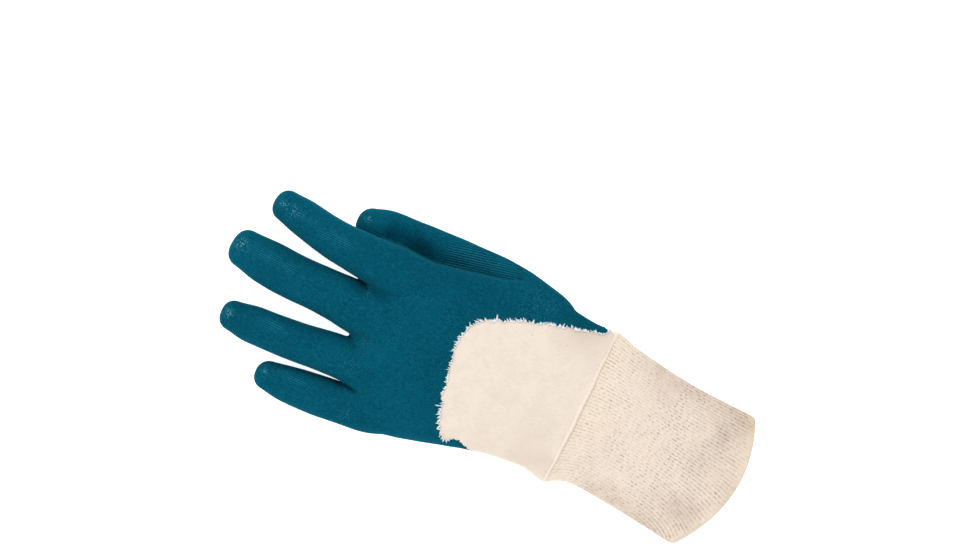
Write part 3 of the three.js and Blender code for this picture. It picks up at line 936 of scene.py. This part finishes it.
def rib_knit(knit):
    """Off-white rib knit: stitches along each rib and rows of small holes between the ribs."""
    finish = Finish("rib_knit_cotton", 0.97, 0.12, 0.15, 0.6)
    around, course, _ = finish.uv("stitches")
    fibres = finish.noise(1500, 3, 0.6)
    mottle = finish.noise(160, 3, 0.6)
    fine = finish.noise(520, 2, 0.6)
    broad = finish.noise(42, 2, 0.5)
    broken = finish.ramp(fine, 0.34, 0.62)
    patches = finish.ramp(broad, 0.35, 0.6, 0.5, 1.0)

    # The ribs, their valleys and their stitches
    across = finish.math("PINGPONG", around, 0.5)
    valley = finish.ramp(across, 0.02, 0.26, 1.0, 0.0)
    rib = finish.math("FLOOR", finish.math("ADD", around, 0.5))
    stitch = finish.node("ShaderNodeCombineXYZ", {"X": rib, "Y": finish.math("FLOOR", course)})
    loop = finish.wave(finish.sum(course, (across, 0.9)), 1.0)

    # Small dark gaps between the ribs, in broken rows
    stray = finish.sum(finish.times(finish.chance("1D", {"W": rib}), 0.6), (mottle, 2.4))
    gaps = finish.ramp(finish.wave(finish.sum(stray, (course, 1 / GAP_PITCH)), 1.0), 0.4, 0.95)
    rows = finish.wave(finish.sum(finish.times(broad, 3.0), (course, 1 / ROW_PITCH)), 1.0)
    gaps = finish.times(
        gaps,
        finish.ramp(fine, 0.36, 0.62, 0.2, 1.0),
        finish.ramp(broad, 0.36, 0.6, 0.55, 1.0),
        finish.ramp(rows, 0.1, 0.9, 0.7, 1.1),
        finish.ramp(course, 3.0, 45.0, 0.4, 0.85),
        finish.ramp(course, 45.0, 68.0, 1.0, 0.65),
    )

    # Shadow between the ribs, deeper near the seam and near the fold
    seam_near = finish.ramp(course, 2.0, 22.0, 1.0, 0.0)
    shade = finish.math("ADD", gaps, finish.ramp(course, 3.0, 18.0, 0.03, 0.10))
    shade = finish.sum(shade, (finish.times(seam_near, patches, broken), 0.42))
    shade = finish.sum(shade, (finish.times(finish.ramp(course, 40.0, 68.0), broken), 0.26))
    shade = finish.math("ADD", shade, finish.ramp(course, 0.6, 2.4, 0.12, 0.0))
    fold = finish.ramp(course, knit.courses - 2.5, knit.courses - 0.8, 1.0, 0.5)
    shade = finish.times(shade, valley, fold)
    # Painted shade towards both sides of the flat tube, growing away from the seam
    sides = finish.ramp(finish.math("PINGPONG", around, knit.ribs / 4), 0.0, 9.0, 0.25, 0.0)
    sides = finish.times(sides, finish.ramp(course, 8.0, 30.0, 0.1, 1.0))

    each = finish.chance("2D", {"Vector": stitch.outputs["Vector"]})
    tone = finish.sum(0.27, (loop, 0.10), (fibres, 0.6), (each, 0.14), (broad, 0.2), (seam_near, 0.10))
    tone = finish.minus(finish.minus(tone, shade), sides)
    golden = finish.ramp(course, knit.courses - 12.0, knit.courses - 1.0, 0.0, 0.6)
    light = finish.blend(golden, knit.light, tinted(knit.light, 0.98, 0.94, 0.87))
    golden = finish.times(finish.ramp(course, 3.0, 22.0, 0.9, 0.0), patches)
    dark = finish.blend(golden, knit.dark, GOLDEN_THREAD)
    colour = finish.blend(tone, dark, light)
    warm = finish.ramp(finish.noise(75, 2, 0.5), 0.42, 0.66, 0.0, 0.4)
    colour = finish.blend(warm, colour, tinted(knit.light, 0.99, 0.93, 0.9))
    # Painted shade: soft patches that darken the knit in its own hue
    painted_shade_share = finish.times(finish.shade(KNIT_PAINTED_SHADE), finish.ramp(mottle, 0.36, 0.64, 0.55, 1.25))
    colour = finish.blend(painted_shade_share, colour, PAINTED_SHADE_TINT, "MULTIPLY")
    height = finish.minus(finish.sum(finish.times(fibres, 0.6), (loop, 0.5)), shade)
    return finish.finished(colour, height, 0.10 * MM)


def fibre_cloth(jersey):
    """The torn fibres' bright cotton."""
    finish = Finish("cotton_fibres", 0.95, 0.1)
    share = finish.ramp(finish.noise(700, 1, 0.5), 0.3, 0.55)
    return finish.finished(finish.blend(share, jersey.torn, BRIGHT_FIBRES))


# One operator for each piece


class GLOVE_OT_coated_hand(bpy.types.Operator):
    """The nitrile coated palm, knuckles, fingers and thumb"""

    bl_idname = "glove.coated_hand"
    bl_label = "Coated Hand"
    bl_options = {"REGISTER", "UNDO"}

    def execute(self, context):
        coating, jersey = context.scene.glove_coating, context.scene.glove_jersey
        mesh = hand_part(coating.voxel, lambda distance: distance > 0)
        data = finished_mesh(mesh, "coated_hand")
        self.mark(data)
        coat = nitrile(coating)
        materials = [coat, jersey_cloth(jersey, "cotton_lining"), coat]
        piece = new_piece("coated_hand_shell", data, materials, "coated_hand")
        self.thin(piece)
        wall(piece, coating.wall, material_offset=1, vertex_group="wall")
        return {"FINISHED"}

    def thin(self, piece):
        """Thins the wall at the creases, whose inside takes the coating's third slot."""
        points = places_of(piece.data)
        share = np.ones(len(points))
        for crease in CREASES:
            distance, _ = beside(crease_line(crease), points[:, :2])
            near = np.exp(-((distance / CREASE_THIN_REACH) ** 4))
            share = np.minimum(share, 1 - CREASE_THINNING * near)
        group = piece.vertex_groups.new(name="wall")
        for i, weight in enumerate(share):
            group.add([i], weight, "REPLACE")
        for face in piece.data.polygons:
            if share[face.vertices[0]] < 0.9:
                face.material_index = 2

    def mark(self, data):
        """Where painted glints and wales show, kept on the mesh for its material."""
        points = places_of(data)
        normals = np.empty(len(points) * 3)
        data.vertices.foreach_get("normal", normals)
        up = normals.reshape(-1, 3)[:, 2]
        glints = np.maximum(PALM_PAINTED_GLINTS * np.clip(-0.2 - up, 0, 1), BACK_PAINTED_GLINTS)
        for x, y, radius, strength in PAINTED_GLINTS:
            far = np.hypot(points[:, 0] - x, points[:, 1] - y)
            glints += strength * np.exp(-((far / radius) ** 2)) * (up > 0)
        set_attribute(data, "glints", glints)
        streaks = np.zeros(len(points))
        for x, y, long, wide in STREAKS:
            along, across = (points[:, 1] - y) / long, (points[:, 0] - x) / wide
            streaks += np.exp(-(along**4) - across**2) * (up > 0)
        set_attribute(data, "streaks", streaks)
        along, across = ways_along(points, THUMB_WALES["x"], THUMB_WALES["y"], THUMB_WALES["angle"])
        inside = np.exp(-((along / THUMB_WALES["long"]) ** 8) - (across / THUMB_WALES["wide"]) ** 4)
        inside *= 0.75 - 0.3 * along / THUMB_WALES["long"]
        inside *= beside(crease_line(CREASES[0]), points[:, :2])[0] > -0.4
        set_attribute(data, "thumb_wales", inside * np.clip((up - 0.35) / 0.3, 0, 1))


class GLOVE_OT_jersey_back(bpy.types.Operator):
    """The bare jersey on the back of the hand and at the heel of the palm"""

    bl_idname = "glove.jersey_back"
    bl_label = "Jersey Back"
    bl_options = {"REGISTER", "UNDO"}

    def execute(self, context):
        coating, jersey = context.scene.glove_coating, context.scene.glove_jersey
        mesh = hand_part(coating.voxel, lambda distance: distance < JERSEY_UNDER)
        mesh.normal_update()
        for vert in mesh.verts:
            vert.co -= vert.normal * jersey.step / MM
        data = finished_mesh(mesh, "jersey_back")
        piece = new_piece("jersey_back_cloth", data, [jersey_cloth(jersey)], "jersey_back")
        wall(piece, jersey.wall)
        return {"FINISHED"}


class GLOVE_OT_edge_fibres(bpy.types.Operator):
    """The torn cotton fibres that stand out over the coating's edge"""

    bl_idname = "glove.edge_fibres"
    bl_label = "Edge Fibres"
    bl_options = {"REGISTER", "UNDO"}

    def execute(self, context):
        coating, jersey = context.scene.glove_coating, context.scene.glove_jersey
        fibres = bmesh.new()
        chance = np.random.default_rng(11)
        surface = BVHTree.FromPolygons(
            [vert.co.copy() for vert in hand_form(coating.voxel).vertices],
            [tuple(face.vertices) for face in hand_form(coating.voxel).polygons],
        )
        for side, height, folded, offset in (("back", 60, FOLDED_UNDER, 0), ("palm", -20, 0, PALM_TEARS)):
            line = edge_line(side)
            run = run_along(line)
            stop = run[-2] - folded
            count = round(jersey.tufts * (stop - run[1]) / TUFT_EDGE)
            for place in np.sort(chance.uniform(run[1], stop, count)):
                tuft = bmesh.new()
                self.tuft(tuft, surface, line, run, place, height, chance, offset)
                weld(tuft)
                made = as_mesh(tuft, "tuft")
                fibres.from_mesh(made)
                bpy.data.meshes.remove(made)
        data = finished_mesh(fibres, "edge_fibres")
        new_piece("edge_fibres", data, [fibre_cloth(jersey)], None)
        return {"FINISHED"}

    def tuft(self, mesh, surface, line, run, place, height, chance, offset):
        """A small spike of fibres that come together at its tip, where a ray from the height lands."""
        at = np.array([np.interp(place, run, line[:, k]) for k in (0, 1)])
        on = np.array([np.interp(place + 0.5, run, line[:, k]) for k in (0, 1)])
        way = (on - at) / max(np.hypot(*(on - at)), 1e-6)
        out = np.array([way[1], -way[0]])
        # It is rooted a little inside the torn edge, and nowhere that the cloth stands upright
        root = at + out * (torn(place + offset) - 0.4)
        aim = Vector((0, 0, -1 if height > 0 else 1))
        hit, normal, _, _ = surface.ray_cast(Vector((*root, height)), aim)
        if hit is None or abs(normal.z) < 0.35:
            return
        away = Vector((*out, 0))
        away = (away - normal * away.dot(normal)).normalized()
        beside_way = normal.cross(away)
        # Most are short, above all near the thumb
        reach = 0.45 + chance.gamma(2.0, 0.32)
        reach *= min(max((place - run[1]) / 20, 0.35), 1)
        tip = hit + away * reach + beside_way * (reach * chance.normal(0.15, 0.4)) + normal * 0.3
        for _ in range(TUFT_FIBRES):
            foot = hit + beside_way * chance.normal(0, 0.28) - normal * 0.1
            end = tip + beside_way * chance.normal(0, 0.2) + away * chance.normal(0, 0.25)
            end += normal * abs(chance.normal(0, 0.12))
            self.fibre(mesh, foot, end, normal, beside_way, chance.uniform(0.08, 0.15))

    def fibre(self, mesh, foot, end, normal, side_way, thick):
        """One fibre, bowed away from the cloth and thinner towards its end."""
        rings = []
        for share in (0, 0.35, 0.7, 1):
            centre = foot.lerp(end, share) + normal * (0.3 * math.sin(share * math.pi))
            radius = thick * (1 - share) ** 0.6 + 0.02
            ring = [
                centre + (side_way * math.cos(angle) + normal * math.sin(angle)) * radius
                for angle in (2 * math.pi * k / 4 for k in range(5))
            ]
            for point in ring:
                point.z = max(point.z, 0.02)
            rings.append(ring)
        roll(mesh, rings)


class GLOVE_OT_wrist_seam(bpy.types.Operator):
    """The rolled seam between jersey and knit wrist"""

    bl_idname = "glove.wrist_seam"
    bl_label = "Wrist Seam"
    bl_options = {"REGISTER", "UNDO"}

    def execute(self, context):
        angle = 2 * np.pi * np.arange(SEAM_POINTS + 1) / SEAM_POINTS
        thread = 0.5 + 0.5 * np.cos(angle * SEAM_STITCHES)
        full = 0.45 + 0.55 * np.abs(np.sin(angle)) ** 0.5
        rings = []
        for along, out in SEAM_ROLL:
            proud = (out + 0.05 * thread) * full if out > 0 else out
            x = (SEAM["right"] - SEAM["left"]) / 2 + proud
            z = SEAM["thick"] / 2 + proud
            ring = np.stack([
                (SEAM["left"] + SEAM["right"]) / 2 + x * squared(np.cos(angle), CUFF_SQUARENESS),
                SEAM["y"] + along + self.drift(angle),
                SEAM["middle"] + z * squared(np.sin(angle), CUFF_SQUARENESS),
            ], 1)
            ring[:, 2] = np.maximum(ring[:, 2], max(0, -out))
            rings.append(ring)
        rings.append(rings[0])
        data = tube_mesh(rings, "wrist_seam", "thread", lambda u, v: (u * SEAM_STITCHES, v))
        cloth = seam_cloth(context.scene.glove_jersey)
        new_piece("wrist_seam_roll", data, [cloth], "wrist_seam")
        return {"FINISHED"}

    def drift(self, angle):
        """How far the sewn line strays along the hand, mostly on the back."""
        return 0.5 * np.sin(angle) * np.sin(2.2 * angle + 0.6) + 0.12 * np.sin(13 * angle)


class GLOVE_OT_knit_wrist(bpy.types.Operator):
    """The rib-knit wrist, a tube folded in at its end"""

    bl_idname = "glove.knit_wrist"
    bl_label = "Knit Wrist"
    bl_options = {"REGISTER", "UNDO"}

    def execute(self, context):
        knit = context.scene.glove_knit
        start, end = CUFF[0, 0], CUFF[-1, 0]
        outside = np.linspace(start, end, 100)
        turns = np.linspace(0, np.pi, FOLD_RINGS + 1)[1:]
        inside = np.linspace(end - 4, start, 16)
        rings = [self.ring(knit, down) for down in outside]
        for turn in turns:
            inset = CUFF_WALL / 2 * (1 - math.cos(turn))
            rings.append(self.ring(knit, end, inset, CUFF_FOLD * math.sin(turn), 1 - turn / np.pi))
        rings += [self.ring(knit, down, CUFF_WALL, ribbed=0) for down in inside]
        rings.append(rings[0])

        # The course of stitches that each ring lies at
        courses = np.concatenate([
            (outside - start) / (end - start) * knit.courses,
            knit.courses + np.linspace(0, FOLD_COURSES, FOLD_RINGS + 1)[1:],
            knit.courses * 2 + FOLD_COURSES - (inside - start) / (end - start) * knit.courses,
            [knit.courses * 2 + FOLD_COURSES + 2],
        ])

        def stitches(u, v):
            return u * knit.ribs, courses[round(v * (len(courses) - 1))]

        data = tube_mesh(rings, "knit_wrist", "stitches", stitches)
        piece = new_piece("knit_wrist_rib", data, [rib_knit(knit)], "knit_wrist")
        return {"FINISHED"}

    def ring(self, knit, down, inset=0, ahead=0, ribbed=1):
        """One ring of the tube, its ribs pressed in between their crowns."""
        _, left, right, middle, thick, bend = through(CUFF, np.array([down]))[0]
        around = knit.ribs * RIB_POINTS
        angle = 2 * np.pi * np.arange(around + 1) / around
        share = np.clip((down - RIB_SWEEP_START) / (CUFF[-1, 0] - RIB_SWEEP_START), 0, 1)
        swept = RIB_SWEEP * share ** 3
        arc = self.even_turn(angle + 2 * np.pi * swept / CUFF_ROUND * (1 - np.cos(angle)) / 2)
        half = (right - left) / 2 - inset
        cosine, sine = squared(np.cos(arc), CUFF_SQUARENESS), squared(np.sin(arc), CUFF_SQUARENESS)
        x, z = half * cosine, (thick / 2 - inset) * sine
        length = np.hypot(x, z)
        # The ribs are flatter near the seam, and the upper layer lies in soft waves
        rib = np.abs(np.cos(angle * knit.ribs / 2)) ** 0.8
        press = ribbed * knit.rib_depth / MM * (1 - rib) * np.clip(0.55 + down / 30, 0, 1)
        soft = 0.35 * np.sin(3 * angle + down / 17) + 0.25 * np.sin(5 * angle - down / 11 + 1)
        press = press + ribbed * soft * np.clip(down / 20, 0, 1) * np.clip(sine, 0, 1)
        x, z = x * (1 - press / length), z * (1 - press / length)
        x = x + (left + right) / 2
        z = np.maximum(z + middle, inset)
        y = -down + bend * (x - CUFF_CURVE["x"]) ** 2 / (2 * CUFF_CURVE["radius"]) - ahead
        return np.stack([x, y, z], 1)

    def even_turn(self, angle):
        """The angle at which each rib stands, so that the ribs are evenly wide on the flat tube."""
        dense = np.linspace(0, 2 * np.pi, 4001)
        x = CUFF_OVAL[0] * squared(np.cos(dense), CUFF_SQUARENESS)
        z = CUFF_OVAL[1] * squared(np.sin(dense), CUFF_SQUARENESS)
        run = run_along(np.column_stack([x, z]))
        return np.interp(angle / (2 * np.pi) * run[-1], run, dense)


class GLOVE_OT_stage(bpy.types.Operator):
    """The pale table, the soft light and the camera"""

    bl_idname = "glove.stage"
    bl_label = "Stage"
    bl_options = {"REGISTER", "UNDO"}

    def execute(self, context):
        stage = context.scene.glove_stage
        mesh = bmesh.new()
        bmesh.ops.create_grid(mesh, x_segments=1, y_segments=1, size=TABLE_HALF)
        data = as_mesh(mesh, "table")
        white = Finish("table_white", 0.9, 0.1)
        white.surface.inputs["Emission Color"].default_value = (1, 1, 1, 1)
        white.surface.inputs["Emission Strength"].default_value = stage.glow
        data.materials.append(white.finished((*stage.floor, 1)))
        placed("table", data)
        world = bpy.data.worlds.new("studio")
        world.use_nodes = True
        background = world.node_tree.nodes["Background"]
        background.inputs["Color"].default_value = (1, 1, 1, 1)
        background.inputs["Strength"].default_value = stage.fill
        context.scene.world = world
        for name, place in LAMPS.items():
            self.light(name, place, getattr(stage, name))
        self.camera(context)
        context.scene.view_settings.view_transform = "Standard"
        return {"FINISHED"}

    def light(self, name, place, power):
        """A round soft lamp that looks at the middle of the glove."""
        lamp = bpy.data.lights.new(name, "AREA")
        lamp.shape = "DISK"
        lamp.size = LAMP_SIZE
        lamp.energy = power
        holder = placed(name, lamp)
        holder.location = place
        holder.rotation_euler = (-Vector(place)).to_track_quat("-Z", "Y").to_euler()

    def camera(self, context):
        """The photograph's camera."""
        lens = bpy.data.cameras.new("camera")
        lens.lens = CAMERA["lens"]
        lens.sensor_width = 36
        camera = placed("camera", lens)
        camera.location = (
            ORIGIN[0] + CAMERA["x"] * MM, ORIGIN[1] + CAMERA["y"] * MM, CAMERA["height"] * MM
        )
        camera.rotation_euler = (0, 0, math.radians(CAMERA["turn"]))
        context.scene.camera = camera


class GLOVE_PT_panel(bpy.types.Panel):
    """The glove's settings, with a button for each piece"""

    bl_idname = "GLOVE_PT_panel"
    bl_label = "Nitrile Coated Glove"
    bl_space_type = "VIEW_3D"
    bl_region_type = "UI"
    bl_category = "Glove"

    def draw(self, context):
        layout = self.layout
        groups = (
            (context.scene.glove_coating, (GLOVE_OT_coated_hand,)),
            (context.scene.glove_jersey, (GLOVE_OT_jersey_back, GLOVE_OT_edge_fibres, GLOVE_OT_wrist_seam)),
            (context.scene.glove_knit, (GLOVE_OT_knit_wrist,)),
            (context.scene.glove_stage, (GLOVE_OT_stage,)),
        )
        for group, operators in groups:
            box = layout.box()
            # The first two properties are Blender's own
            for name in group.bl_rna.properties.keys()[2:]:
                box.prop(group, name)
            for operator in operators:
                box.operator(operator.bl_idname)


GROUPS = {
    "glove_coating": GLOVE_PG_coating,
    "glove_jersey": GLOVE_PG_jersey,
    "glove_knit": GLOVE_PG_knit,
    "glove_stage": GLOVE_PG_stage,
}
OPERATORS = (
    GLOVE_OT_knit_wrist,
    GLOVE_OT_wrist_seam,
    GLOVE_OT_coated_hand,
    GLOVE_OT_jersey_back,
    GLOVE_OT_edge_fibres,
    GLOVE_OT_stage,
)


def register():
    for made in (*GROUPS.values(), *OPERATORS, GLOVE_PT_panel):
        bpy.utils.register_class(made)
    for name, group in GROUPS.items():
        setattr(bpy.types.Scene, name, PointerProperty(type=group))


def unregister():
    for name in GROUPS:
        delattr(bpy.types.Scene, name)
    for made in (GLOVE_PT_panel, *reversed(OPERATORS), *reversed(GROUPS.values())):
        bpy.utils.unregister_class(made)


def main():
    """Builds every piece and the stage."""
    register()
    bpy.ops.glove.knit_wrist()
    bpy.ops.glove.wrist_seam()
    bpy.ops.glove.coated_hand()
    bpy.ops.glove.jersey_back()
    bpy.ops.glove.edge_fibres()
    bpy.ops.glove.stage()


if __name__ == "__main__":
    main()
